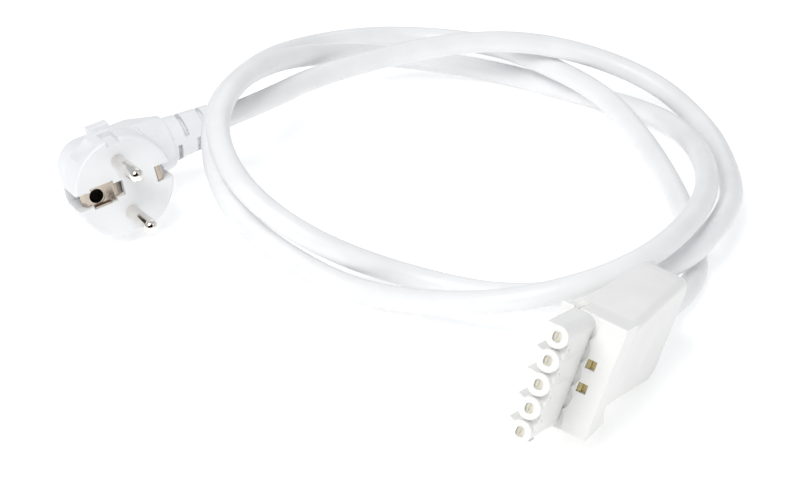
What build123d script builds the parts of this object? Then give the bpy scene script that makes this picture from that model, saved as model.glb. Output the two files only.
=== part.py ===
from build123d import *
import os
from math import cos, pi, radians, sin, tan

os.makedirs("parts", exist_ok=True)

# Power lead: an angled earthed plug, a round cable lying in a double loop and a
# 5-pole lighting connector. Millimetres, +Z up, the floor at Z = 0. The origin is on
# the floor, below the middle of the plug and the connector.

# Cable and its three insulated cores
cable_diameter = 8.0
core_diameter = 2.7
core_spread = 1.75
core_clearance = 0.05
relief_run = 36.0
gland_run = 26.0
arc_share = 0.45

# Plug: pins and earth contacts
pin_diameter = 4.8
pin_length = 19.0
pin_spacing = 19.0
pin_tip_radius = 2.2
pin_root_depth = 12.0
pin_root_diameter = 4.0
pin_shoulder = 0.1
earth_offset = 10.0
earth_hole_diameter = 5.0
earth_sleeve_wall = 0.5
earth_sleeve_depth = 20.0
strip_thickness = 0.8
strip_width = 5.4
strip_plate_width = 7.6
strip_plate_start = 3.6
strip_plate_end = 12.2
strip_plate_depth = 1.5
strip_bow = 0.9
strip_reach = 9.8
strip_tongue_start = 1.2
strip_tongue_depth = 4.4
strip_bend_radius = 0.6
strip_lip_height = 1.1
strip_lip_thickness = 0.6
strip_lip_start = 5.6
strip_lip_end = 11.6
strip_pad_width = 9.0
strip_pad_start = 5.4
strip_fold_level = -1.2
strip_clip_step = 1.9

# Plug: carrier of the pins
bridge_width = 27.0
bridge_corner_radius = 6.0
bridge_depth = 9.4
bridge_near_edge = 11.5
bridge_far_edge = 13.2
bridge_back_chamfer = 0.3

# Plug: moulded body
drum_radius = 18.4
drum_draft = 2.4
drum_depth = 19.0
drum_edge_radius = 0.9
notch_width = 5.8
notch_depth = 12.0
groove_width = 4.7
groove_bottom = 15.6
groove_length = 9.0
groove_stop_height = 18.6
groove_stop_width = 9.0
groove_stop_length = 6.0
groove_stop_thickness = 4.0
grip_radius = 11.0
grip_sink = 2.1
grip_angle = 31.0
grip_start = 4.0
back_depth = 33.5
back_radius = 17.4
back_edge_radius = 6.5
housing_width = 31.0
housing_height = 17.0
housing_start = 2.0
housing_corner_radius = 8.2
neck_depth = 25.0
neck_start = 25.4
neck_start_radius = 9.3
boot_start = 19.4
boot_root_radius = 8.6
boot_tip_radius = 6.7
boot_end = 44.0
boot_end_fillet = 0.8
sheath_in_plug = 18.0
plug_core_straight = 10.0
plug_core_lead = 9.0
plug_core_bend = 3.6

# Plug: slots of the bend relief
slot_width = 1.7
slot_bottom_radius = 5.6
slot_reach = 16.0
long_slot_places = (31.3, 39.0)
short_slot_places = (27.6, 35.2)
long_slot_middle = 20.0
long_slot_half = 57.0
short_slot_middle = 122.0
short_slot_half = 30.0

# Connector: pitch, sleeves and contacts
pole_count = 5
pole_pitch = 7.5
sleeve_radius = 3.4
sleeve_length = 22.0
sleeve_web_setback = 2.4
sleeve_web_left = 1.4
sleeve_web_right = 3.3
sleeve_fin_reach = 4.9
sleeve_fin_start = (-0.7, 3.0)
sleeve_fin_end = (-3.2, 0.2)
sleeve_mouth_width = 2.7
sleeve_mouth_height = 3.3
sleeve_mouth_depth = 3.6
sleeve_mouth_radius = 1.25
contact_tube_radius = 1.6
contact_bore_radius = 1.1
terminal_width = 5.6
terminal_height = 5.2
terminal_length = 8.6
terminal_clearance = 0.1
terminal_bore_depth = 5.0
window_size = 3.0
window_centre = 6.7
window_drop = 2.8
window_poles = (2, 3)
face_wall = 1.6

# Connector: flange
flange_left = -8.0
flange_right = 13.0
flange_bottom = -17.6
flange_top = 18.7
flange_heel_depth = 15.4
flange_heel_rise = 2.8
flange_depth = 10.4
flange_edge_radius = 0.7
relief_radius = 5.0
relief_depth = 0.8

# Connector: rear housing
housing_floor = -9.4
housing_rear = 56.0
housing_heel_chamfer = 4.0
housing_crown = 26.0
housing_crown_start = 46.0
housing_crown_radius = 6.0
housing_wall = 1.8
housing_seam = -5.2
housing_edge_radius = 2.6
gland_across = 2.5
gland_height = 4.0
sheath_in_connector = 14.0
connector_core_straight = 9.0
connector_core_lead = 8.0
connector_core_bend = 6.0

# Connector: cord clamp
clamp_length = 20.0
clamp_width = 6.0
clamp_thickness = 2.2
clamp_corner_radius = 1.5
clamp_place = 47.0
clamp_screw_spacing = 14.0
clamp_boss_radius = 2.7
screw_radius = 1.4
screw_head_radius = 2.5
screw_head_height = 1.4
screw_bite = 8.0

# Where the plug and the connector lie, and which way they point
plug_origin = (-75.3, 48.8, 21.7)
plug_pins_line = (-0.207, 0.073, 0.976)
plug_outward = (0.457, -0.874, 0.163)
connector_origin = (64.56, -72.9, 28.07)
connector_across = (0.8548, -0.4806, -0.1958)
connector_up = (0.3269, 0.2057, 0.9224)

plug_frame = Plane(origin=plug_origin, x_dir=plug_pins_line, z_dir=plug_outward)
connector_frame = Plane(origin=connector_origin, x_dir=connector_across, z_dir=connector_up)

pin_places = (pin_spacing / 2, -pin_spacing / 2)
pin_radius = pin_diameter / 2
pin_root_radius = pin_root_diameter / 2
cable_radius = cable_diameter / 2
core_radius = core_diameter / 2


# Plug: the two pins, their thinner roots held in the carrier
def turn_pin(pin_place):
    with BuildPart() as pin:
        with BuildSketch(Plane.XY.offset(-pin_root_depth)):
            with Locations((pin_place, 0)):
                Circle(pin_root_radius)
        extrude(amount=pin_root_depth + pin_shoulder)
        with BuildSketch(Plane.XY.offset(pin_shoulder)):
            with Locations((pin_place, 0)):
                Circle(pin_radius)
        extrude(amount=pin_length - pin_shoulder)
        fillet(pin.edges().group_by(Axis.Z)[-1], pin_tip_radius)
    return pin


live_pin = turn_pin(pin_places[0])
neutral_pin = turn_pin(pin_places[1])

# Plug: earth strip, bent round the carrier, with a plate round the earth hole
strip_plate_level = -strip_plate_depth - strip_thickness / 2
strip_back_level = -bridge_depth - strip_thickness / 2
strip_near_side = -bridge_near_edge - strip_thickness / 2
strip_far_side = bridge_far_edge + strip_thickness / 2
strip_path = (
    (strip_tongue_start, -strip_tongue_depth),
    (strip_plate_start, strip_plate_level),
    (strip_far_side, strip_plate_level),
    (strip_far_side + strip_bow, -bridge_depth / 2),
    (strip_far_side, strip_back_level),
    (strip_near_side, strip_back_level),
    (strip_near_side, strip_fold_level),
    (strip_near_side - strip_clip_step, strip_fold_level),
    (strip_near_side - strip_clip_step - strip_bow / 2, -bridge_depth / 2),
    (strip_near_side - strip_clip_step, -strip_reach),
)

with BuildPart() as earth_strip:
    with BuildSketch(Plane.YZ.offset(-strip_width / 2)):
        with BuildLine():
            FilletPolyline(*strip_path, radius=strip_bend_radius)
        trace(line_width=strip_thickness)
    extrude(amount=strip_width)
    with BuildSketch(Plane.XY.offset(-strip_plate_depth)):
        with Locations((0, (strip_plate_start + strip_plate_end) / 2)):
            Rectangle(strip_plate_width, strip_plate_end - strip_plate_start)
    extrude(amount=-strip_thickness)
    with BuildSketch(Plane.XY.offset(-strip_plate_depth)):
        with GridLocations(strip_plate_width - strip_lip_thickness, 0, 2, 1):
            with Locations((0, (strip_lip_start + strip_lip_end) / 2)):
                Rectangle(strip_lip_thickness, strip_lip_end - strip_lip_start)
    extrude(amount=strip_lip_height)
    with BuildSketch(Plane.XY.offset(-bridge_depth)):
        with Locations((0, (strip_pad_start + bridge_far_edge) / 2)):
            Rectangle(strip_pad_width, bridge_far_edge - strip_pad_start)
    extrude(amount=-strip_thickness)
    with Locations(Plane((0, earth_offset, 0))):
        Cylinder(earth_hole_diameter / 2 + earth_sleeve_wall, 2 * earth_sleeve_depth, mode=Mode.SUBTRACT)

# Plug: rolled sleeve behind the plate, for the outlet's earth pin
with BuildPart(Plane((0, earth_offset, -strip_plate_depth - strip_lip_thickness / 2))) as earth_socket:
    Cylinder(
        earth_hole_diameter / 2 + earth_sleeve_wall,
        earth_sleeve_depth,
        align=(Align.CENTER, Align.CENTER, Align.MAX),
    )
    Cylinder(
        earth_hole_diameter / 2,
        earth_sleeve_depth,
        align=(Align.CENTER, Align.CENTER, Align.MAX),
        mode=Mode.SUBTRACT,
    )

# Plug: insulated cores from the end of the sheath to the pins and the strip
sheath_end = -boot_end + sheath_in_plug
plug_core_angles = (-30, 210, 90)
core_ends = (
    (pin_places[0], 0, -pin_root_depth),
    (pin_places[1], 0, -pin_root_depth),
    (0, 0, strip_back_level - strip_thickness / 2),
)


def plug_core(index):
    angle = radians(plug_core_angles[index])
    across = core_spread * cos(angle)
    depth = -neck_depth + core_spread * sin(angle)
    end = core_ends[index]
    with BuildPart() as core:
        with BuildLine() as core_line:
            FilletPolyline(
                (across, sheath_end, depth),
                (across, sheath_end + plug_core_straight, depth),
                (end[0], end[1], end[2] - plug_core_lead),
                end,
                radius=plug_core_bend,
            )
        with BuildSketch(Plane(core_line.line @ 0, z_dir=core_line.line % 0)):
            Circle(core_radius)
        sweep()
    return core


plug_live_core = plug_core(0)
plug_neutral_core = plug_core(1)
plug_earth_core = plug_core(2)

# Plug: hard carrier of the pins, let into the face
with BuildPart() as pin_bridge:
    with BuildSketch(Plane.XY.offset(-bridge_depth)):
        with Locations((0, (bridge_far_edge - bridge_near_edge) / 2)):
            RectangleRounded(bridge_width, bridge_far_edge + bridge_near_edge, bridge_corner_radius)
    extrude(amount=bridge_depth)
    chamfer(pin_bridge.edges().group_by(Axis.Z)[0], bridge_back_chamfer)
    with Locations(*[(place, 0, -bridge_depth) for place in pin_places]):
        Cylinder(pin_root_radius, 3 * bridge_depth, mode=Mode.SUBTRACT)
    with BuildSketch(Plane.XY):
        with Locations((0, (strip_plate_start + strip_plate_end) / 2)):
            Rectangle(strip_plate_width, strip_plate_end - strip_plate_start)
        with Locations((0, (strip_tongue_start + bridge_far_edge) / 2)):
            Rectangle(strip_width, bridge_far_edge - strip_tongue_start)
    extrude(amount=-strip_plate_depth - strip_thickness, mode=Mode.SUBTRACT)
    with BuildSketch(Plane.XY):
        with Locations((0, (strip_tongue_start + strip_plate_start) / 2)):
            Rectangle(strip_width, strip_plate_start - strip_tongue_start + 2 * strip_thickness)
    extrude(amount=-strip_tongue_depth - 2 * strip_thickness, mode=Mode.SUBTRACT)
    with Locations(Plane((0, earth_offset, 0))):
        Cylinder(earth_hole_diameter / 2 + earth_sleeve_wall, 3 * bridge_depth, mode=Mode.SUBTRACT)

# Plug: moulded body with its drum, back, neck and slotted bend relief
with BuildPart() as plug_body:
    with BuildSketch(Plane.XY.offset(-drum_depth)):
        Circle(drum_radius)
    extrude(amount=drum_depth, taper=drum_draft)
    fillet(plug_body.edges().group_by(Axis.Z)[-1], drum_edge_radius)
    with BuildSketch(Plane.XY.offset(-back_depth)):
        Circle(back_radius)
    extrude(amount=back_depth - drum_depth)
    fillet(plug_body.edges().group_by(Axis.Z)[0], back_edge_radius)
    with BuildSketch(Plane.XZ.offset(housing_start)):
        with Locations((0, -neck_depth)):
            RectangleRounded(housing_width, housing_height, housing_corner_radius)
    with BuildSketch(Plane.XZ.offset(neck_start)):
        with Locations((0, -neck_depth)):
            RectangleRounded(2 * neck_start_radius, housing_height, housing_corner_radius)
    loft()
    with BuildSketch(Plane.XZ.offset(boot_start)):
        with Locations((0, -neck_depth)):
            Circle(boot_root_radius)
    with BuildSketch(Plane.XZ.offset(boot_end)):
        with Locations((0, -neck_depth)):
            Circle(boot_tip_radius)
    loft()
    fillet(plug_body.edges().group_by(Axis.Y)[0], boot_end_fillet)
    # guide grooves with their end stops, and a finger grip beside each
    for side in (1, -1):
        with Locations((side * groove_bottom, 0, 0)):
            Box(
                drum_radius,
                groove_width,
                2 * groove_length,
                align=(Align.MIN if side > 0 else Align.MAX, Align.CENTER, Align.CENTER),
                mode=Mode.SUBTRACT,
            )
        with Locations((side * groove_stop_height, 0, -groove_length - groove_stop_length / 2)):
            Box(
                groove_stop_thickness,
                groove_stop_width,
                groove_stop_length,
                align=(Align.MAX if side > 0 else Align.MIN, Align.CENTER, Align.CENTER),
            )
        grip_reach = drum_radius + grip_radius - grip_sink
        grip_turn = radians(grip_angle)
        with Locations((side * grip_reach * cos(grip_turn), grip_reach * sin(grip_turn), -grip_start)):
            Cylinder(
                grip_radius,
                drum_depth - grip_start,
                align=(Align.CENTER, Align.CENTER, Align.MAX),
                mode=Mode.SUBTRACT,
            )
    # pockets for the carrier, the side contacts, the sleeve, the cores and the sheath
    with BuildSketch(Plane.XY.offset(-bridge_depth)):
        with Locations((0, (bridge_far_edge - bridge_near_edge) / 2)):
            RectangleRounded(bridge_width, bridge_far_edge + bridge_near_edge, bridge_corner_radius)
    extrude(amount=bridge_depth, mode=Mode.SUBTRACT)
    with BuildSketch(Plane.XY.offset(-bridge_depth)):
        with Locations((0, (strip_pad_start + bridge_far_edge) / 2)):
            Rectangle(strip_pad_width, bridge_far_edge - strip_pad_start)
    extrude(amount=-strip_thickness, mode=Mode.SUBTRACT)
    with Locations((0, 0, -bridge_depth - strip_thickness)):
        Box(
            strip_width,
            bridge_far_edge + bridge_near_edge + 2 * strip_thickness,
            strip_thickness,
            align=(Align.CENTER, Align.CENTER, Align.MIN),
            mode=Mode.SUBTRACT,
        )
    with Locations((0, bridge_far_edge, 0)):
        Box(
            notch_width,
            drum_radius,
            2 * notch_depth,
            align=(Align.CENTER, Align.MIN, Align.CENTER),
            mode=Mode.SUBTRACT,
        )
    with Locations((0, -bridge_near_edge, 0)):
        Box(
            notch_width,
            drum_radius,
            2 * notch_depth,
            align=(Align.CENTER, Align.MAX, Align.CENTER),
            mode=Mode.SUBTRACT,
        )
    with Locations((0, earth_offset, 0)):
        Cylinder(
            earth_hole_diameter / 2 + earth_sleeve_wall,
            earth_sleeve_depth + strip_plate_depth + strip_lip_thickness / 2,
            align=(Align.CENTER, Align.CENTER, Align.MAX),
            mode=Mode.SUBTRACT,
        )
    with Locations(*[(place, 0, 0) for place in pin_places]):
        Cylinder(
            pin_root_radius,
            pin_root_depth,
            align=(Align.CENTER, Align.CENTER, Align.MAX),
            mode=Mode.SUBTRACT,
        )
    with BuildSketch(Plane.XZ.offset(-sheath_end)):
        with Locations((0, -neck_depth)):
            Circle(cable_radius)
    extrude(amount=boot_end, mode=Mode.SUBTRACT)
    add(plug_live_core.part, mode=Mode.SUBTRACT)
    add(plug_neutral_core.part, mode=Mode.SUBTRACT)
    add(plug_earth_core.part, mode=Mode.SUBTRACT)
    # slots of the bend relief, in opposite pairs
    neck_axis = Axis((0, 0, -neck_depth), (0, -1, 0))
    slot_sets = (
        (long_slot_places, long_slot_middle, long_slot_half),
        (short_slot_places, short_slot_middle, short_slot_half),
    )
    for places, middle, half in slot_sets:
        for place in places:
            for opposite in (0, 180):
                start = radians(middle + opposite - half)
                slot_plane = Plane(
                    origin=(0, -place, -neck_depth),
                    x_dir=(cos(start), 0, sin(start)),
                    z_dir=(-sin(start), 0, cos(start)),
                )
                with BuildSketch(slot_plane):
                    with Locations((slot_bottom_radius, 0)):
                        Rectangle(slot_reach, slot_width, align=(Align.MIN, Align.CENTER))
                revolve(axis=neck_axis, revolution_arc=2 * half, mode=Mode.SUBTRACT)

# Connector: places of the five poles, the lowest first
pole_places = [(index - (pole_count - 1) / 2) * pole_pitch for index in range(pole_count)]

# Connector: moulded front with the flange and five joined sleeves
with BuildPart() as contact_block:
    with BuildSketch(Plane.YZ.offset(flange_left)):
        with BuildLine():
            Polyline(
                (0, flange_bottom),
                (flange_heel_depth, flange_bottom + flange_heel_rise),
                (flange_depth, housing_floor),
                (flange_depth, flange_top),
                (0, flange_top),
                close=True,
            )
        make_face()
    extrude(amount=flange_right - flange_left)
    fillet(contact_block.edges().filter_by(Axis.X).group_by(Axis.Y)[0], flange_edge_radius)
    with BuildSketch(Plane.XZ):
        with Locations(*[(0, place) for place in pole_places]):
            Circle(relief_radius)
    extrude(amount=-relief_depth, mode=Mode.SUBTRACT)
    with BuildSketch(Plane.XZ.offset(-relief_depth)):
        with Locations(*[(0, place) for place in pole_places]):
            Circle(sleeve_radius)
            with BuildLine():
                Polyline(
                    sleeve_fin_start,
                    (-sleeve_fin_reach, sleeve_radius),
                    sleeve_fin_end,
                    close=True,
                )
            make_face()
    extrude(amount=sleeve_length + relief_depth)
    with BuildSketch(Plane.XZ.offset(-relief_depth)):
        with Locations(((sleeve_web_right - sleeve_web_left) / 2, 0)):
            Rectangle(sleeve_web_right + sleeve_web_left, pole_places[-1] - pole_places[0])
    extrude(amount=sleeve_length + relief_depth - sleeve_web_setback)
    with BuildSketch(Plane.XZ.offset(sleeve_length)):
        with Locations(*[(0, place) for place in pole_places]):
            RectangleRounded(sleeve_mouth_width, sleeve_mouth_height, sleeve_mouth_radius)
    extrude(amount=-sleeve_mouth_depth, mode=Mode.SUBTRACT)
    with BuildSketch(Plane.XZ.offset(sleeve_length - sleeve_mouth_depth)):
        with Locations(*[(0, place) for place in pole_places]):
            Circle(contact_tube_radius)
    extrude(amount=-sleeve_length, mode=Mode.SUBTRACT)
    with BuildSketch(Plane.XZ.offset(-face_wall)):
        with Locations(*[(0, place) for place in pole_places]):
            Rectangle(
                terminal_width + 2 * terminal_clearance,
                terminal_height + 2 * terminal_clearance,
            )
    extrude(amount=face_wall - flange_depth, mode=Mode.SUBTRACT)
    with BuildSketch(Plane.XZ.offset(-face_wall)):
        with Locations(*[(0, pole_places[pole] - window_drop) for pole in window_poles]):
            Rectangle(window_centre + window_size / 2, window_size, align=(Align.MIN, Align.CENTER))
    extrude(amount=-window_size - terminal_clearance, mode=Mode.SUBTRACT)
    with BuildSketch(Plane.XZ):
        with Locations(*[(window_centre, pole_places[pole] - window_drop) for pole in window_poles]):
            Rectangle(window_size, window_size)
    extrude(amount=-face_wall, mode=Mode.SUBTRACT)


# Connector: brass contacts, with a test lug behind each window of the face
def form_contact(index):
    place = pole_places[index]
    with BuildPart() as contact:
        with BuildSketch(Plane.XZ.offset(-face_wall)):
            with Locations((0, place)):
                Circle(contact_tube_radius)
        extrude(amount=face_wall + sleeve_length - sleeve_mouth_depth)
        with BuildSketch(Plane.XZ.offset(-face_wall - terminal_length)):
            with Locations((0, place)):
                Rectangle(terminal_width, terminal_height)
        extrude(amount=terminal_length)
        with BuildSketch(Plane.XZ.offset(sleeve_length)):
            with Locations((0, place)):
                Circle(contact_bore_radius)
        extrude(amount=-sleeve_length - face_wall, mode=Mode.SUBTRACT)
        with BuildSketch(Plane.XZ.offset(-face_wall - terminal_length)):
            with Locations((0, place)):
                Circle(core_radius + core_clearance)
        extrude(amount=terminal_bore_depth, mode=Mode.SUBTRACT)
        if index in window_poles:
            lug_left = terminal_width / 2
            lug_right = window_centre + window_size / 2
            with BuildSketch(Plane.XZ.offset(-face_wall)):
                with Locations(((lug_left + lug_right) / 2, place - window_drop + window_size / 4)):
                    Rectangle(lug_right - lug_left, window_size / 2)
            extrude(amount=-window_size)
    return contact


contacts = [form_contact(index) for index in range(pole_count)]

# Connector: side profile of the rear housing, shared by the cover and the base
with BuildSketch(Plane.YZ) as housing_profile:
    with BuildLine():
        Polyline(
            (flange_depth, housing_floor),
            (housing_rear - housing_heel_chamfer, housing_floor),
            (housing_rear, housing_floor + housing_heel_chamfer),
            (housing_rear, housing_crown),
            (housing_crown_start, housing_crown),
            (flange_depth, flange_top),
            close=True,
        )
    make_face()
    fillet(housing_profile.vertices().sort_by(Axis.Y)[-2:], housing_crown_radius)

clamp_face = gland_across - cable_radius
clamp_screw_places = [
    (clamp_place, gland_height + side * clamp_screw_spacing / 2) for side in (1, -1)
]

# Connector: cover, a shell that is open towards the base and the flange
with BuildPart() as connector_cover:
    with BuildSketch(Plane.YZ.offset(housing_seam)):
        add(housing_profile.sketch_local)
    extrude(amount=flange_right - housing_seam)
    fillet(
        connector_cover.edges().filter_by(GeomType.LINE).group_by(Axis.X)[-1].filter_by(
            lambda edge: edge.center().Y > flange_depth + housing_wall
        ),
        housing_edge_radius,
    )
    with BuildSketch(Plane.YZ.offset(housing_seam)):
        offset(housing_profile.sketch_local, amount=-housing_wall)
        with Locations((flange_depth, housing_floor + housing_wall)):
            Rectangle(
                2 * housing_wall,
                flange_top - housing_floor - 2 * housing_wall,
                align=(Align.MIN, Align.MIN),
            )
    extrude(amount=flange_right - housing_seam - housing_wall, mode=Mode.SUBTRACT)
    with BuildSketch(Plane.XZ.offset(-housing_rear)):
        with Locations((gland_across, gland_height)):
            Circle(cable_radius)
    extrude(amount=2 * housing_wall, mode=Mode.SUBTRACT)
    for place in clamp_screw_places:
        with BuildSketch(Plane.YZ.offset(clamp_face)):
            with Locations(place):
                Circle(clamp_boss_radius)
                Circle(screw_radius, mode=Mode.SUBTRACT)
        extrude(amount=flange_right - housing_wall - clamp_face)

# Connector: base plate that closes the cover on its hidden side
with BuildPart() as connector_base:
    with BuildSketch(Plane.YZ.offset(flange_left)):
        add(housing_profile.sketch_local)
    extrude(amount=housing_seam - flange_left)

# Connector: bar that holds the sheath down, with its two screws
with BuildPart() as cord_clamp:
    with BuildSketch(Plane.YZ.offset(clamp_face - clamp_thickness)):
        with Locations((clamp_place, gland_height)):
            RectangleRounded(clamp_width, clamp_length, clamp_corner_radius)
        with Locations(*clamp_screw_places):
            Circle(screw_radius, mode=Mode.SUBTRACT)
    extrude(amount=clamp_thickness)

with BuildPart() as clamp_screws:
    for place in clamp_screw_places:
        with BuildSketch(Plane.YZ.offset(clamp_face - clamp_thickness)):
            with Locations(place):
                Circle(screw_head_radius)
        extrude(amount=-screw_head_height)
        with BuildSketch(Plane.YZ.offset(clamp_face - clamp_thickness)):
            with Locations(place):
                Circle(screw_radius)
        extrude(amount=clamp_thickness + screw_bite)

# Connector: insulated cores from the end of the sheath to three of the contacts
connector_sheath_end = housing_rear - sheath_in_connector
terminal_back = face_wall + terminal_length - terminal_bore_depth


def connector_core(index, pole):
    angle = radians(90 - 120 * index)
    across = gland_across + core_spread * cos(angle)
    height = gland_height + core_spread * sin(angle)
    with BuildPart() as core:
        with BuildLine() as core_line:
            FilletPolyline(
                (across, connector_sheath_end, height),
                (across, connector_sheath_end - connector_core_straight, height),
                (0, flange_depth + connector_core_lead, pole_places[pole]),
                (0, terminal_back, pole_places[pole]),
                radius=connector_core_bend,
            )
        with BuildSketch(Plane(core_line.line @ 0, z_dir=core_line.line % 0)):
            Circle(core_radius)
        sweep()
    return core


live_core = connector_core(0, 4)
neutral_core = connector_core(1, 3)
earth_core = connector_core(2, 2)

# Cable: a double loop from the plug's bend relief to the connector's gland
cable_start = plug_frame.from_local_coords((0, sheath_end, -neck_depth))
cable_relief = plug_frame.from_local_coords((0, sheath_end - relief_run, -neck_depth))
cable_gland = connector_frame.from_local_coords(
    (gland_across, connector_sheath_end + gland_run, gland_height)
)
cable_end = connector_frame.from_local_coords((gland_across, connector_sheath_end, gland_height))
route = [
    cable_start, cable_relief,
    (-12, 136, 22), (37, 155, 26), (74, 158, 24), (111, 147, 15), (130, 123, 6), (134, 89, 6),
    (129, 45, 15), (104, 5, 13), (57, 0, 7), (25, 16, 4), (-10, 16, 18), (-35, 32, 29),
    (-46, 57, 39), (-41, 86, 43), (-27, 121, 35), (-7, 153, 22), (15, 173, 11), (50, 177, 4),
    (81, 158, 4), (116, 134, 5), (125, 85, 14), (118, 32, 23), (91, -11, 25), (51, -21, 18),
    (15, 1, 6), (-9, 14, 7), (-37, 32, 18), (-47, 56, 29), (-47, 87, 35), (-34, 129, 30),
    (-21, 169, 17), (2, 187, 13), (28, 191, 11), (52, 182, 12), (69, 162, 15), (93, 139, 12),
    (106, 107, 8), (114, 77, 4), (116, 46, 4), (115, 16, 4), cable_gland, cable_end,
]


def corner_radii(points):
    vectors = [Vector(point) for point in points]
    radii = []
    for before, corner, after in zip(vectors, vectors[1:], vectors[2:]):
        run_in = corner - before
        run_out = after - corner
        half_turn = radians(run_in.get_angle(run_out)) / 2
        radii.append(arc_share * min(run_in.length, run_out.length) / tan(half_turn))
    return radii


cable_radii = corner_radii(route)
with BuildPart() as cable:
    with BuildLine() as cable_line:
        FilletPolyline(*route, radius=cable_radii)
    with BuildSketch(Plane(cable_line.line @ 0, z_dir=cable_line.line % 0)):
        Circle(cable_radius)
    sweep()

cable_length = sum(edge.length for edge in cable_line.edges())
tube_volume = pi * cable_radius**2 * cable_length
print("cable length", round(cable_length, 1))
print("cable volume over section times length", round(cable.part.volume / tube_volume, 4))
print("smallest arc radius", round(min(cable_radii), 1))
print("arc radii", [round(radius) for radius in cable_radii])

# Place the plug's pieces and write them
plug_pieces = {
    "plug_body": plug_body,
    "pin_bridge": pin_bridge,
    "live_pin": live_pin,
    "neutral_pin": neutral_pin,
    "earth_strip": earth_strip,
    "earth_socket": earth_socket,
    "plug_live_core": plug_live_core,
    "plug_neutral_core": plug_neutral_core,
    "plug_earth_core": plug_earth_core,
}
connector_pieces = {
    "contact_block": contact_block,
    "connector_cover": connector_cover,
    "connector_base": connector_base,
    "cord_clamp": cord_clamp,
    "clamp_screws": clamp_screws,
    "live_core": live_core,
    "neutral_core": neutral_core,
    "earth_core": earth_core,
}
for index, contact in enumerate(contacts):
    connector_pieces[f"contact_{index + 1}"] = contact

for pieces, frame in ((plug_pieces, plug_frame), (connector_pieces, connector_frame)):
    for name, piece in pieces.items():
        piece.part.move(frame.location)
        piece.part.label = name
        export_step(piece.part, f"parts/{name}.step")

cable.part.label = "cable"
export_step(cable.part, "parts/cable.step")
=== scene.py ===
import math

import bmesh
import bpy
from bpy.props import FloatProperty, FloatVectorProperty, IntProperty, PointerProperty
from mathutils import Matrix, Vector


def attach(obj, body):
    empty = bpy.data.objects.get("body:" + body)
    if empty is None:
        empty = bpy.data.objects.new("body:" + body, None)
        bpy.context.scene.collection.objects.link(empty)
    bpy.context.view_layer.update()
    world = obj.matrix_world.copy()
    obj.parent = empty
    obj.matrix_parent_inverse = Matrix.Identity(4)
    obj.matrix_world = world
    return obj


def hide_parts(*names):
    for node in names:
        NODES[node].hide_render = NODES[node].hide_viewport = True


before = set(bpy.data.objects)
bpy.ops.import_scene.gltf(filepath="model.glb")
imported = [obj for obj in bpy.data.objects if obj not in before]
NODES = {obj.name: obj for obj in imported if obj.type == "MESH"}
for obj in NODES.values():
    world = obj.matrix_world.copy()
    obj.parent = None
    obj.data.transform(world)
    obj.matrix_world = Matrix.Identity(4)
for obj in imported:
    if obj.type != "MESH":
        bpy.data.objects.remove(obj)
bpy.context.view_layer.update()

bl_info = {
    "name": "Power Lead Builder",
    "version": (1, 0, 0),
    "blender": (4, 5, 0),
    "location": "View3D > Sidebar > Power Lead",
    "description": "Dresses a mains lead with an angled earthed plug and a 5-pole connector",
    "category": "Object",
}

MM = 0.001

# Where the plug and the connector lie, as in the part's source
PLUG_ORIGIN = (-75.3, 48.8, 21.7)
PLUG_PINS_LINE = (-0.207, 0.073, 0.976)
PLUG_OUTWARD = (0.457, -0.874, 0.163)
CONNECTOR_ORIGIN = (64.56, -72.9, 28.07)
CONNECTOR_ACROSS = (0.8548, -0.4806, -0.1958)
CONNECTOR_UP = (0.3269, 0.2057, 0.9224)

# The cable's route from the plug's bend relief to the connector's gland, in millimetres
ROUTE_BETWEEN = (
    (-12, 136, 22), (37, 155, 26), (74, 158, 24), (111, 147, 15), (130, 123, 6), (134, 89, 6),
    (129, 45, 15), (104, 5, 13), (57, 0, 7), (25, 16, 4), (-10, 16, 18), (-35, 32, 29),
    (-46, 57, 39), (-41, 86, 43), (-27, 121, 35), (-7, 153, 22), (15, 173, 11), (50, 177, 4),
    (81, 158, 4), (116, 134, 5), (125, 85, 14), (118, 32, 23), (91, -11, 25), (51, -21, 18),
    (15, 1, 6), (-9, 14, 7), (-37, 32, 18), (-47, 56, 29), (-47, 87, 35), (-34, 129, 30),
    (-21, 169, 17), (2, 187, 13), (28, 191, 11), (52, 182, 12), (69, 162, 15), (93, 139, 12),
    (106, 107, 8), (114, 77, 4), (116, 46, 4), (115, 16, 4),
)

# The route's last two points at the plug and at the connector, on the axes of each
PLUG_ENTRY = ((0, -26, -25), (0, -62, -25))
GLAND_EXIT = ((2.5, 68, 4), (2.5, 42, 4))

# The plug's rear housing on the plug's axes: the level of its middle line, its height and
# corner radius, and its half width at three places along the cable
HOUSING_MIDDLE = -24.95
HOUSING_HEIGHT = 17.0
HOUSING_CORNER = 6.0
HOUSING_HALVES = ((3.0, 11.5), (-12.0, 11.3), (-27.5, 10.2))

# The connector's row of contacts, the seam between the halves of its rear housing, the first
# marker dot and half the width of a window's tab
POLE_PITCH = 7.5
TOP_POLE = 2 * POLE_PITCH
SEAM = -5.2
FIRST_DOT = (3.25, -17, 11.25)
TAB_HALF = 1.45

# The shoulder that slopes down to the seam, the wall under it, and the share of the side
# plate's thickness that stays
SHOULDER_START = 9.0
SHOULDER_LENGTH = 49.0
SHOULDER_EDGE = -5.3
WALL_THICKNESS = 1.3
PLATE_SHARE = 0.3

# The stage in metres, degrees and, for the lens, millimetres
CAMERA_PLACE = (0.017, -0.6237, 0.3893)
CAMERA_TILT = 60
CAMERA_LENS = 102.6
FLOOR_REACH = 6.0
LIGHT_TARGET = (0.02, 0.03, 0.02)
STUDIO_WHITE = (0.96, 0.98, 1.0, 1.0)
STUDIO_WARM = (0.6, 0.24, 0.08, 1.0)
STUDIO_DARK = (0.02, 0.015, 0.01, 1.0)


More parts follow.
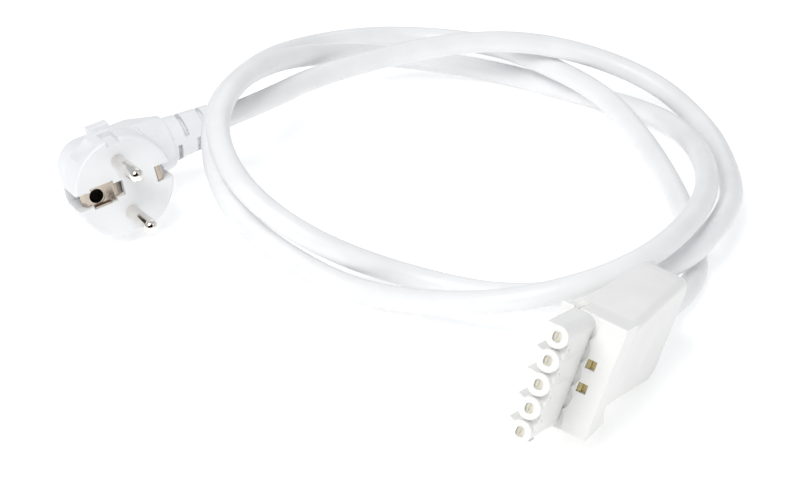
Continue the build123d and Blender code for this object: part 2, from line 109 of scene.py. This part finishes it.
def local_frame(origin, across, up):
    """Matrix of a part's own axes: Z along up, X along across."""
    z = Vector(up).normalized()
    x = Vector(across)
    x = (x - z * x.dot(z)).normalized()
    y = z.cross(x)
    matrix = Matrix((x, y, z)).transposed().to_4x4()
    matrix.translation = Vector(origin) * MM
    return matrix


PLUG = local_frame(PLUG_ORIGIN, PLUG_PINS_LINE, PLUG_OUTWARD)
CONNECTOR = local_frame(CONNECTOR_ORIGIN, CONNECTOR_ACROSS, CONNECTOR_UP)


def place(matrix, x, y, z):
    """World point of local millimetres."""
    return matrix @ Vector((x * MM, y * MM, z * MM))


def linked(name, data):
    """New object in the scene."""
    item = bpy.data.objects.new(name, data)
    bpy.context.scene.collection.objects.link(item)
    return item


def evaluated(item):
    """Plain mesh of an object as its modifiers leave it."""
    graph = bpy.context.evaluated_depsgraph_get()
    return bpy.data.meshes.new_from_object(item.evaluated_get(graph))


# Materials


def new_material(name):
    material = bpy.data.materials.new(name)
    material.use_nodes = True
    tree = material.node_tree
    shader = tree.nodes["Principled BSDF"]
    coords = tree.nodes.new("ShaderNodeTexCoord")
    return material, tree, shader, coords.outputs["Object"]


def noise(tree, source, scale, detail=3.0, roughness=0.55):
    node = tree.nodes.new("ShaderNodeTexNoise")
    node.inputs["Scale"].default_value = scale
    node.inputs["Detail"].default_value = detail
    node.inputs["Roughness"].default_value = roughness
    tree.links.new(source, node.inputs["Vector"])
    return node.outputs["Fac"]


def ramp(tree, source, low, high, dark, light):
    """Colour that goes from dark at low to light at high."""
    node = tree.nodes.new("ShaderNodeValToRGB")
    node.color_ramp.elements[0].position = low
    node.color_ramp.elements[1].position = high
    node.color_ramp.elements[0].color = (*dark, 1.0)
    node.color_ramp.elements[1].color = (*light, 1.0)
    tree.links.new(source, node.inputs["Fac"])
    return node.outputs["Color"]


def spread(tree, source, low, high):
    """Value between low and high that follows the middle range of a noise."""
    node = tree.nodes.new("ShaderNodeMapRange")
    node.inputs["From Min"].default_value = 0.3
    node.inputs["From Max"].default_value = 0.7
    node.inputs["To Min"].default_value = low
    node.inputs["To Max"].default_value = high
    tree.links.new(source, node.inputs["Value"])
    return node.outputs["Result"]


def bump(tree, shader, source, strength, depth):
    node = tree.nodes.new("ShaderNodeBump")
    node.inputs["Strength"].default_value = strength
    node.inputs["Distance"].default_value = depth
    tree.links.new(source, node.inputs["Height"])
    tree.links.new(node.outputs["Normal"], shader.inputs["Normal"])


def shade(colour, factor):
    return tuple(min(1.0, channel * factor) for channel in colour)


def moulded_plastic(name, colour, gloss, grain):
    """Moulded plastic: faint cloudy tone, fine spark-eroded grain and scuffed gloss."""
    material, tree, shader, coords = new_material(name)
    cloud = noise(tree, coords, scale=55.0, detail=4.0)
    tree.links.new(
        ramp(tree, cloud, 0.35, 0.65, shade(colour, 0.965), shade(colour, 1.02)),
        shader.inputs["Base Color"],
    )
    scuffs = noise(tree, coords, scale=420.0, detail=5.0, roughness=0.7)
    tree.links.new(spread(tree, scuffs, gloss - 0.05, gloss + 0.08), shader.inputs["Roughness"])
    fine = noise(tree, coords, scale=2400.0, detail=2.0)
    bump(tree, shader, fine, strength=grain, depth=0.00002)
    shader.inputs["IOR"].default_value = 1.5
    return material


def plated_metal(name, colour, gloss, brushed):
    """Plated metal: bright, with fine drawing marks and slightly uneven tone."""
    material, tree, shader, coords = new_material(name)
    shader.inputs["Metallic"].default_value = 1.0
    cloud = noise(tree, coords, scale=240.0, detail=4.0)
    tree.links.new(
        ramp(tree, cloud, 0.35, 0.7, shade(colour, 0.9), shade(colour, 1.04)),
        shader.inputs["Base Color"],
    )
    marks = noise(tree, coords, scale=2600.0, roughness=0.65)
    tree.links.new(spread(tree, marks, gloss, gloss + brushed), shader.inputs["Roughness"])
    bump(tree, shader, marks, strength=0.12, depth=0.00001)
    return material


def striped_core(name, first, second):
    """Earth core insulation: two colours in stripes along the wire."""
    material, tree, shader, coords = new_material(name)
    wave = tree.nodes.new("ShaderNodeTexWave")
    wave.inputs["Scale"].default_value = 420.0
    wave.inputs["Distortion"].default_value = 0.6
    tree.links.new(coords, wave.inputs["Vector"])
    stripes = ramp(tree, wave.outputs["Fac"], 0.45, 0.55, first, second)
    tree.links.new(stripes, shader.inputs["Base Color"])
    fine = noise(tree, coords, scale=3000.0)
    tree.links.new(spread(tree, fine, 0.38, 0.5), shader.inputs["Roughness"])
    bump(tree, shader, fine, strength=0.15, depth=0.00002)
    return material


def cover_with(mesh, material):
    """Makes a material the only one of a mesh."""
    mesh.materials.clear()
    mesh.materials.append(material)


def dress(node, material):
    """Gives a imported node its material."""
    cover_with(NODES[node].data, material)


def smooth(mesh, angle):
    """Smooth shading, with edges sharper than the angle kept."""
    mesh.polygons.foreach_set("use_smooth", [True] * len(mesh.polygons))
    mesh.set_sharp_from_angle(angle=math.radians(angle))


def add_piece(name, mesh, material):
    """New piece that rides the root."""
    cover_with(mesh, material)
    piece = linked(name, mesh)
    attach(piece, "root")
    return piece


# Solid shapes


def rounded_outline(width, height, radius, steps=8):
    """Corner-rounded rectangle about the origin, as pairs in order."""
    outline = []
    for across, up, start in ((1, 1, 0), (-1, 1, 90), (-1, -1, 180), (1, -1, 270)):
        for step in range(steps + 1):
            angle = math.radians(start + 90 * step / steps)
            outline.append((
                across * (width / 2 - radius) + radius * math.cos(angle),
                up * (height / 2 - radius) + radius * math.sin(angle),
            ))
    return outline


def loft(name, rings):
    """Closed skin through rings of equal length, capped at both ends."""
    shape = bmesh.new()
    loops = [[shape.verts.new(point) for point in ring] for ring in rings]
    for near, far in zip(loops, loops[1:]):
        for index in range(len(near)):
            shape.faces.new((near[index - 1], near[index], far[index], far[index - 1]))
    shape.faces.new(loops[0])
    shape.faces.new(loops[-1])
    bmesh.ops.recalc_face_normals(shape, faces=shape.faces)
    mesh = bpy.data.meshes.new(name)
    shape.to_mesh(mesh)
    shape.free()
    return mesh


def prism(name, matrix, outline, start, end):
    """Outline in the local XZ plane, drawn out along local Y."""
    rings = [[place(matrix, x, y, z) for x, z in outline] for y in (start, end)]
    return loft(name, rings)


def block(name, matrix, low, high, radius=0.2):
    """Box between two local corners with rounded long edges."""
    middle = [(a + b) / 2 for a, b in zip(low, high)]
    outline = rounded_outline(high[0] - low[0], high[2] - low[2], radius, 3)
    moved = [(x + middle[0], z + middle[2]) for x, z in outline]
    return prism(name, matrix, moved, low[1], high[1])


def node_copy(node):
    """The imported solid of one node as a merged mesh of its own."""
    mesh = NODES[node].data.copy()
    shape = bmesh.new()
    shape.from_mesh(mesh)
    bmesh.ops.remove_doubles(shape, verts=shape.verts, dist=0.000001)
    shape.to_mesh(mesh)
    shape.free()
    if "custom_normal" in mesh.attributes:
        mesh.attributes.remove(mesh.attributes["custom_normal"])
    return mesh


def worked(name, mesh, steps):
    """Runs boolean steps, each an operation with a tool, and returns a plain mesh."""
    blank = linked(name, mesh)
    tools = []
    for operation, tool in steps:
        helper = linked(f"{name}_tool", tool)
        tools.append(helper)
        modifier = blank.modifiers.new(operation, "BOOLEAN")
        modifier.operation = operation
        modifier.solver = "EXACT"
        modifier.object = helper
    result = evaluated(blank)
    for helper in (blank, *tools):
        bpy.data.objects.remove(helper)
    if not result.polygons:
        raise RuntimeError(f"{name}: nothing is left after the boolean steps")
    result.name = name
    return result


def joined(name, meshes):
    """One mesh from several closed skins that run into each other."""
    shape = bmesh.new()
    for mesh in meshes:
        shape.from_mesh(mesh)
    result = bpy.data.meshes.new(name)
    shape.to_mesh(result)
    shape.free()
    return result


def weighted(mesh, angle):
    """Smooth shading that keeps flat faces flat beside rounded edges."""
    smooth(mesh, angle)
    holder = linked(mesh.name, mesh)
    modifier = holder.modifiers.new("weighted", "WEIGHTED_NORMAL")
    modifier.keep_sharp = True
    result = evaluated(holder)
    bpy.data.objects.remove(holder)
    return result


# Settings


class LeadSettings(bpy.types.PropertyGroup):
    cable_diameter: FloatProperty(
        name="Cable diameter",
        description="Outer diameter of the round sheath",
        default=0.008,
        unit="LENGTH",
    )
    cable_length: FloatProperty(
        name="Cable length",
        description="Length of the sheath, with its ends inside the plug and the connector",
        default=1.557,
        unit="LENGTH",
    )
    cable_colour: FloatVectorProperty(
        name="Cable colour",
        description="Colour of the sheath",
        default=(0.82, 0.82, 0.825),
        subtype="COLOR",
    )
    plug_colour: FloatVectorProperty(
        name="Plug colour",
        description="Colour of the moulded plug",
        default=(0.79, 0.795, 0.805),
        subtype="COLOR",
    )
    connector_colour: FloatVectorProperty(
        name="Connector colour",
        description="Colour of the connector's housing",
        default=(0.81, 0.807, 0.79),
        subtype="COLOR",
    )
    pole_count: IntProperty(
        name="Poles",
        description="Contacts in the connector's row",
        default=5,
        min=1,
    )
    dot_count: IntProperty(
        name="Marker dots",
        description="Raised dots on the side of the sleeves",
        default=4,
        min=1,
    )
    dot_pitch: FloatProperty(
        name="Dot pitch",
        description="Distance from one dot to the next",
        default=0.0075,
        unit="LENGTH",
    )
    dot_radius: FloatProperty(
        name="Dot radius",
        description="Radius of a raised dot",
        default=0.0004,
        unit="LENGTH",
    )


# Cable


class LEAD_OT_cable(bpy.types.Operator):
    """Lay the cable as one smooth spline from the connector's gland to the plug"""

    bl_idname = "lead.cable"
    bl_label = "Cable"

    def execute(self, context):
        settings = context.scene.power_lead
        points = [
            *[place(PLUG, *point) for point in PLUG_ENTRY],
            *[Vector(point) * MM for point in ROUTE_BETWEEN],
            *[place(CONNECTOR, *point) for point in GLAND_EXIT],
        ]
        points.reverse()
        curve = bpy.data.curves.new("cable_sheath", "CURVE")
        curve.dimensions = "3D"
        spline = curve.splines.new("NURBS")
        spline.points.add(len(points) - 1)
        for control, point in zip(spline.points, points):
            control.co = (*point, 1.0)
        spline.order_u = 3
        spline.use_endpoint_u = True
        spline.resolution_u = 12
        curve.bevel_depth = settings.cable_diameter / 2
        curve.bevel_resolution = 7
        curve.use_fill_caps = True
        cable = linked("cable_sheath", curve)
        curve.materials.append(
            moulded_plastic("white_sheath", settings.cable_colour, gloss=0.36, grain=0.1)
        )
        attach(cable, "root")
        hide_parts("cable")
        return {"FINISHED"}


# Plug


def drum_rings(radius, depth, draft, face_round, back_round):
    """Circles down the plug's drum, from in front of its face, round its edge, to its back."""
    steps = 6
    sides = 120
    sections = [(1.0, radius - face_round)]
    for step in range(steps + 1):
        angle = math.radians(90 * step / steps)
        drop = face_round * (1 - math.cos(angle))
        sections.append((-drop, radius - face_round + face_round * math.sin(angle)))
    back = radius - draft
    for step in range(steps + 1):
        angle = math.radians(90 * step / steps)
        drop = depth - back_round + back_round * math.sin(angle)
        sections.append((-drop, back - back_round + back_round * math.cos(angle)))
    turns = [math.radians(360 * index / sides) for index in range(sides)]
    return [
        [place(PLUG, r * math.cos(turn), r * math.sin(turn), z) for turn in turns]
        for z, r in sections
    ]


def bar_rings(width, far_end, near_end, corner, front, back, edge):
    """Rounded oblongs from inside the drum to the rounded back of the grip bar."""
    steps = 8
    sections = [(front, 0.0)]
    for step in range(steps + 1):
        angle = math.radians(90 * step / steps)
        sections.append((back - edge + edge * math.sin(angle), edge * (1 - math.cos(angle))))
    middle = (far_end + near_end) / 2
    rings = []
    for depth, inset in sections:
        outline = rounded_outline(
            width - 2 * inset, far_end - near_end - 2 * inset, corner - inset, steps=12
        )
        rings.append([place(PLUG, x, y + middle, -depth) for x, y in outline])
    return rings


def plug_shape():
    """Drum, narrow grip bar and rear housing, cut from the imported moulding."""
    drum = loft("drum_trim", drum_rings(
        radius=17.7, depth=14.0, draft=0.2, face_round=0.7, back_round=1.6
    ))
    bar = loft("bar_trim", bar_rings(
        width=23.2, far_end=13.6, near_end=-23.0, corner=9.5, front=10.0, back=33.45, edge=6.0
    ))
    housing = loft("housing_trim", [
        [
            place(PLUG, x, y, z + HOUSING_MIDDLE)
            for x, z in rounded_outline(2 * half, HOUSING_HEIGHT, HOUSING_CORNER, steps=12)
        ]
        for y, half in HOUSING_HALVES
    ])
    sleeve = block("sleeve_trim", PLUG, low=(-9.8, -95.0, -37.0), high=(9.8, -24.0, -12.0))
    envelope = worked("plug_envelope", drum, (
        ("UNION", bar), ("UNION", housing), ("UNION", sleeve),
    ))
    tab = block("tab", PLUG, low=(15.0, -3.7, -16.4), high=(19.2, 3.7, -12.0), radius=0.5)
    moulding = worked("plug_trimmed", node_copy("plug_body"), (("INTERSECT", envelope),))
    return joined("plug_moulding", (moulding, tab))


def tongue_shape():
    """Curved end of the earth strip, rolled down into the face beside the sleeve."""
    middle_y, middle_z = 4.2, -6.45
    half_width = 3.2
    sheet = []
    for radius, turns in ((5.0, range(86, 138, 4)), (4.4, range(134, 82, -4))):
        for turn in turns:
            angle = math.radians(turn)
            sheet.append((
                middle_y + radius * math.cos(angle), middle_z + radius * math.sin(angle)
            ))
    return loft("strip_tongue", [
        [place(PLUG, x, y, z) for y, z in sheet] for x in (-half_width, half_width)
    ])


class LEAD_OT_plug(bpy.types.Operator):
    """Give the plug's moulding, carrier, pins and earth contacts their finish"""

    bl_idname = "lead.plug"
    bl_label = "Plug"

    def execute(self, context):
        settings = context.scene.power_lead
        body = moulded_plastic("plug_moulding", settings.plug_colour, gloss=0.42, grain=0.22)
        moulding = add_piece("plug_moulding", weighted(plug_shape(), 35), body)
        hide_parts("plug_body")
        dress("pin_bridge", moulded_plastic(
            "carrier_moulding", settings.plug_colour, gloss=0.34, grain=0.1
        ))
        nickel = plated_metal("bright_nickel", (0.86, 0.83, 0.79), gloss=0.06, brushed=0.08)
        dress("live_pin", nickel)
        dress("neutral_pin", nickel)
        strip = plated_metal("strip_nickel", (0.52, 0.45, 0.38), gloss=0.14, brushed=0.14)
        dress("earth_strip", strip)
        add_piece("strip_tongue", weighted(tongue_shape(), 40), strip)
        dress("earth_socket", plated_metal(
            "sleeve_nickel", (0.55, 0.5, 0.44), gloss=0.16, brushed=0.12
        ))
        return {"FINISHED"}


class LEAD_OT_wire_ends(bpy.types.Operator):
    """Colour the insulated cores inside the plug and the connector"""

    bl_idname = "lead.wire_ends"
    bl_label = "Wire ends"

    def execute(self, context):
        brown = moulded_plastic("brown_core", (0.2, 0.085, 0.035), gloss=0.4, grain=0.1)
        blue = moulded_plastic("blue_core", (0.03, 0.13, 0.5), gloss=0.4, grain=0.1)
        earth = striped_core("earth_core_stripes", (0.05, 0.32, 0.06), (0.8, 0.68, 0.05))
        for core, material in (("live", brown), ("neutral", blue), ("earth", earth)):
            dress(f"plug_{core}_core", material)
            dress(f"{core}_core", material)
        return {"FINISHED"}


# Connector


def front_shape():
    """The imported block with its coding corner, tail and fins, and the flange's split finger."""
    corner = [(-3.2, -1.0), (-4.65, 2.1), (-4.2, 3.2), (0.6, 3.35), (0.4, 2.3), (-1.9, 1.2)]
    tail = [(-2.6, -1.9), (-2.05, -3.0), (1.35, -6.05), (3.6, -1.5), (2.3, -1.2), (0.0, -2.4)]
    fin = [(-1.8, 2.0), (-4.7, 2.9), (-4.3, 2.2), (-2.7, 0.2)]
    cuts = (
        ("ledge", (-8.5, 1.2, 16.9), (-2.6, 11.0, 19.5)),
        ("gap", (-4.2, -0.5, 16.4), (-2.6, 11.0, 19.5)),
    )
    additions = (
        ("corner", corner, TOP_POLE, -21.9, 0.6),
        ("tail", tail, -TOP_POLE, -21.9, -17.5),
        *(
            ("fin", fin, pole, -21.8, -12.0)
            for pole in (POLE_PITCH, 0.0, -POLE_PITCH, -TOP_POLE)
        ),
    )
    return worked("connector_front", node_copy("contact_block"), (
        *(("DIFFERENCE", block(name, CONNECTOR, low, high)) for name, low, high in cuts),
        *(
            ("UNION", prism(name, CONNECTOR, [(x, z + pole) for x, z in outline], start, end))
            for name, outline, pole, start, end in additions
        ),
    ))


def shoulder_sections():
    """Crown height, drop and reach of the sloping shoulder at three places along the housing."""
    for y, crown in ((SHOULDER_START, 18.5), (46.0, 26.0), (58.0, 26.0)):
        share = (y - SHOULDER_START) / SHOULDER_LENGTH
        drop = 0.4 + 7.0 * share
        reach = 0.3 + 4.6 * share
        yield y, crown, drop, reach


def shouldered(name, mesh):
    """Cuts the housing's sloping shoulder on the hidden side."""
    outside, overshoot, above = -9.0, 3.7, 32.0
    rings = []
    for y, crown, drop, reach in shoulder_sections():
        edge = reach + SHOULDER_EDGE
        foot = crown - drop - overshoot * drop / reach
        corners = ((outside, foot), (edge, crown), (edge, above), (outside, above))
        rings.append([place(CONNECTOR, x, y, z) for x, z in corners])
    return worked(name, mesh, (("DIFFERENCE", loft("shoulder", rings)),))


def shoulder_wall():
    """Sloping wall that closes the housing under its shoulder."""
    first, last = 10.8, 55.4
    rings = []
    for y, crown, drop, reach in shoulder_sections():
        size = math.hypot(drop, reach)
        inward = (WALL_THICKNESS * drop / size, -WALL_THICKNESS * reach / size)
        foot = (-5.4, crown - drop - 0.1)
        top = (reach + SHOULDER_EDGE, crown)
        corners = (foot, top, *((x + inward[0], z + inward[1]) for x, z in (top, foot)))
        depth = min(max(y, first), last)
        rings.append([place(CONNECTOR, x, depth, z) for x, z in corners])
    return loft("shoulder_wall", rings)


def side_plate():
    """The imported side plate, thinned towards the seam."""
    mesh = node_copy("connector_base")
    back = CONNECTOR.inverted()
    for vertex in mesh.vertices:
        local = back @ vertex.co
        local.x = (SEAM + (local.x / MM - SEAM) * PLATE_SHARE) * MM
        vertex.co = CONNECTOR @ local
    return shouldered("side_plate", mesh)


class LEAD_OT_connector(bpy.types.Operator):
    """Give the connector's block, housing, contacts and clamp their finish"""

    bl_idname = "lead.connector"
    bl_label = "Connector"

    def execute(self, context):
        settings = context.scene.power_lead
        ivory = moulded_plastic(
            "connector_moulding", settings.connector_colour, gloss=0.36, grain=0.06
        )
        # Painted light: the block is the housing's plastic made two percent lighter, so that its
        # faces and the shade between its sleeves come out brighter.
        pale = moulded_plastic(
            "block_moulding", shade(settings.connector_colour, 1.02), gloss=0.33, grain=0.05
        )
        cover = shouldered("cover", node_copy("connector_cover"))
        for node, mesh, material in (
            ("contact_block", front_shape(), pale),
            ("connector_cover", joined("cover", (cover, shoulder_wall())), ivory),
            ("connector_base", side_plate(), ivory),
        ):
            piece = add_piece(f"{node}_shell", weighted(mesh, 35), material)
            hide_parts(node)
        dress("cord_clamp", ivory)
        brass = plated_metal("plain_brass", (0.66, 0.52, 0.26), gloss=0.26, brushed=0.15)
        for number in range(1, 6):
            dress(f"contact_{number}", brass)
        dress("clamp_screws", plated_metal(
            "zinc_plate", (0.66, 0.67, 0.69), gloss=0.25, brushed=0.15
        ))
        return {"FINISHED"}


def row_tree(material):
    """Geometry Nodes: repeats the incoming shape along one line."""
    tree = bpy.data.node_groups.new("row", "GeometryNodeTree")
    tree.interface.new_socket("Geometry", in_out="OUTPUT", socket_type="NodeSocketGeometry")
    inputs = {}
    for name, kind in (
        ("Geometry", "NodeSocketGeometry"),
        ("Count", "NodeSocketInt"),
        ("Step", "NodeSocketVector"),
    ):
        inputs[name] = tree.interface.new_socket(name, in_out="INPUT", socket_type=kind).identifier
    entry = tree.nodes.new("NodeGroupInput")
    line = tree.nodes.new("GeometryNodeMeshLine")
    spots = tree.nodes.new("GeometryNodeInstanceOnPoints")
    real = tree.nodes.new("GeometryNodeRealizeInstances")
    finish = tree.nodes.new("GeometryNodeSetMaterial")
    leave = tree.nodes.new("NodeGroupOutput")
    finish.inputs["Material"].default_value = material
    link = tree.links.new
    link(entry.outputs["Count"], line.inputs["Count"])
    link(entry.outputs["Step"], line.inputs["Offset"])
    link(line.outputs["Mesh"], spots.inputs["Points"])
    link(entry.outputs["Geometry"], spots.inputs["Instance"])
    link(spots.outputs["Instances"], real.inputs["Geometry"])
    link(real.outputs["Geometry"], finish.inputs["Geometry"])
    link(finish.outputs["Geometry"], leave.inputs["Geometry"])
    return tree, inputs


def repeated(name, mesh, material, count, step):
    """Plain mesh of a shape repeated down the connector's poles."""
    tree, inputs = row_tree(material)
    seed = linked(name, mesh)
    modifier = seed.modifiers.new("row", "NODES")
    modifier.node_group = tree
    modifier[inputs["Count"]] = count
    modifier[inputs["Step"]] = tuple(CONNECTOR.to_3x3() @ Vector((0, 0, -step)))
    seed.update_tag()
    result = evaluated(seed)
    bpy.data.objects.remove(seed)
    result.name = name
    return result


class LEAD_OT_marker_dots(bpy.types.Operator):
    """Set the row of small raised dots on the side of the sleeves"""

    bl_idname = "lead.marker_dots"
    bl_label = "Marker dots"

    def execute(self, context):
        settings = context.scene.power_lead
        material = bpy.data.materials["block_moulding"]
        shape = bmesh.new()
        bmesh.ops.create_icosphere(
            shape,
            subdivisions=3,
            radius=settings.dot_radius,
            matrix=Matrix.Translation(place(CONNECTOR, *FIRST_DOT)),
        )
        dot = bpy.data.meshes.new("dot")
        shape.to_mesh(dot)
        shape.free()
        mesh = repeated("marker_dots", dot, material, settings.dot_count, settings.dot_pitch)
        smooth(mesh, 60)
        add_piece("marker_dots", mesh, material)
        return {"FINISHED"}


class LEAD_OT_contact_fronts(bpy.types.Operator):
    """Set the slotted contact ends in the sleeves and the folded tabs in the windows"""

    bl_idname = "lead.contact_fronts"
    bl_label = "Contact fronts"

    def execute(self, context):
        settings = context.scene.power_lead
        # Painted light: the contact ends are a pale, nearly ivory metal, so that the deep mouths
        # of the sleeves show light where they would lie in shade.
        mouth_light_paint = plated_metal("pale_contact_painted_light", (0.92, 0.9, 0.8), gloss=0.5, brushed=0.15)
        outline = [(x, z + TOP_POLE) for x, z in rounded_outline(2.6, 3.2, 1.2)]
        disc = prism("disc", CONNECTOR, outline, start=-21.2, end=-19.6)
        slot = block(
            "slot", CONNECTOR, (-0.3, -22.0, TOP_POLE - 1.0), (0.3, -20.9, TOP_POLE + 1.0), 0.25
        )
        fork = worked("fork", disc, (("DIFFERENCE", slot),))
        mesh = repeated("contact_fronts", fork, mouth_light_paint, settings.pole_count, POLE_PITCH * MM)
        add_piece("contact_fronts", weighted(mesh, 40), mouth_light_paint)
        brass = plated_metal("window_brass", (0.6, 0.52, 0.26), gloss=0.24, brushed=0.2)
        window = 4.7
        bottom, top = window - TAB_HALF, window + TAB_HALF
        back = block("tab_back", CONNECTOR, (5.3, 1.3, bottom), (8.1, 2.4, top), 0.3)
        fold = block("tab_fold", CONNECTOR, (5.3, 0.5, bottom), (6.5, 1.5, top), 0.3)
        tab = worked("tab", back, (("UNION", fold),))
        mesh = repeated("window_tabs", tab, brass, 2, POLE_PITCH * MM)
        add_piece("window_tabs", weighted(mesh, 40), brass)
        return {"FINISHED"}


# Stage


def studio_camera():
    """Camera at the photo's viewpoint."""
    data = bpy.data.cameras.new("camera")
    data.sensor_width = 36.0
    data.lens = CAMERA_LENS
    data.clip_start = 0.01
    camera = linked("camera", data)
    camera.location = CAMERA_PLACE
    camera.rotation_euler = (math.radians(CAMERA_TILT), 0, 0)
    return camera


def paper_floor():
    """Wide sheet of pale paper that glows a little, so that shadows stay faint."""
    mesh = bpy.data.meshes.new("floor")
    reach = FLOOR_REACH
    mesh.from_pydata(
        [(-reach, -reach, 0), (reach, -reach, 0), (reach, reach, 0), (-reach, reach, 0)],
        [],
        [(0, 1, 2, 3)],
    )
    paper, tree, shader, coords = new_material("white_paper")
    tint = noise(tree, coords, scale=3.0, detail=2.0)
    tree.links.new(
        ramp(tree, tint, 0.3, 0.7, (0.93, 0.93, 0.93), (0.95, 0.95, 0.95)),
        shader.inputs["Base Color"],
    )
    shader.inputs["Roughness"].default_value = 0.9
    shader.inputs["Specular IOR Level"].default_value = 0.1
    shader.inputs["Emission Color"].default_value = (1.0, 1.0, 1.0, 1.0)
    shader.inputs["Emission Strength"].default_value = 0.3
    mesh.materials.append(paper)
    return linked("floor", mesh)


def studio_world():
    """Even white surround with a dark, warm-edged patch that only reflections show."""
    world = bpy.data.worlds.new("studio")
    world.use_nodes = True
    tree = world.node_tree
    background = tree.nodes["Background"]
    background.inputs["Strength"].default_value = 0.58
    coords = tree.nodes.new("ShaderNodeTexCoord")
    facing = tree.nodes.new("ShaderNodeVectorMath")
    facing.operation = "DOT_PRODUCT"
    facing.inputs[1].default_value = (0.1, -0.95, 0.3)
    tree.links.new(coords.outputs["Generated"], facing.inputs[0])
    sky = tree.nodes.new("ShaderNodeValToRGB")
    sky.color_ramp.elements[0].color = STUDIO_WHITE
    sky.color_ramp.elements[1].color = STUDIO_DARK
    for position, colour in ((0.7, STUDIO_WHITE), (0.76, STUDIO_WARM), (0.83, STUDIO_DARK)):
        sky.color_ramp.elements.new(position).color = colour
    tree.links.new(facing.outputs["Value"], sky.inputs["Fac"])
    path = tree.nodes.new("ShaderNodeLightPath")
    mirrored = tree.nodes.new("ShaderNodeMixRGB")
    mirrored.inputs["Color1"].default_value = STUDIO_WHITE
    tree.links.new(path.outputs["Is Glossy Ray"], mirrored.inputs["Fac"])
    tree.links.new(sky.outputs["Color"], mirrored.inputs["Color2"])
    tree.links.new(mirrored.outputs["Color"], background.inputs["Color"])
    return world


def studio_lights():
    """Round soft lights: where they hang, their width in metres and their power in watts."""
    for name, where, size, power in (
        ("key", (-0.35, -0.6, 1.0), 0.7, 8.2),
        ("fill", (0.9, -0.5, 0.8), 0.8, 0.6),
        ("back", (0.1, 1.1, 0.8), 0.9, 1.5),
    ):
        data = bpy.data.lights.new(name, "AREA")
        data.shape = "DISK"
        data.size = size
        data.energy = power
        light = linked(name, data)
        light.location = where
        aim = Vector(LIGHT_TARGET) - Vector(where)
        light.rotation_euler = aim.to_track_quat("-Z", "Y").to_euler()


class LEAD_OT_stage(bpy.types.Operator):
    """Set up the pale floor, the soft studio lights and the camera"""

    bl_idname = "lead.stage"
    bl_label = "Stage"

    def execute(self, context):
        scene = context.scene
        scene.camera = studio_camera()
        floor = paper_floor()
        scene.world = studio_world()
        scene.view_settings.view_transform = "Standard"
        studio_lights()
        return {"FINISHED"}


class LEAD_PT_panel(bpy.types.Panel):
    bl_idname = "LEAD_PT_panel"
    bl_label = "Power Lead"
    bl_space_type = "VIEW_3D"
    bl_region_type = "UI"
    bl_category = "Power Lead"

    def draw(self, context):
        column = self.layout.column()
        for name in LeadSettings.__annotations__:
            column.prop(context.scene.power_lead, name)
        for operator in OPERATORS:
            column.operator(operator.bl_idname)


OPERATORS = (
    LEAD_OT_stage,
    LEAD_OT_plug,
    LEAD_OT_cable,
    LEAD_OT_wire_ends,
    LEAD_OT_connector,
    LEAD_OT_marker_dots,
    LEAD_OT_contact_fronts,
)
CLASSES = (LeadSettings, *OPERATORS, LEAD_PT_panel)


def register():
    for item in CLASSES:
        bpy.utils.register_class(item)
    bpy.types.Scene.power_lead = PointerProperty(type=LeadSettings)


def unregister():
    del bpy.types.Scene.power_lead
    for item in reversed(CLASSES):
        bpy.utils.unregister_class(item)


def main():
    register()
    bpy.ops.lead.stage()
    bpy.ops.lead.plug()
    bpy.ops.lead.cable()
    bpy.ops.lead.wire_ends()
    bpy.ops.lead.connector()
    bpy.ops.lead.marker_dots()
    bpy.ops.lead.contact_fronts()


if __name__ == "__main__":
    main()
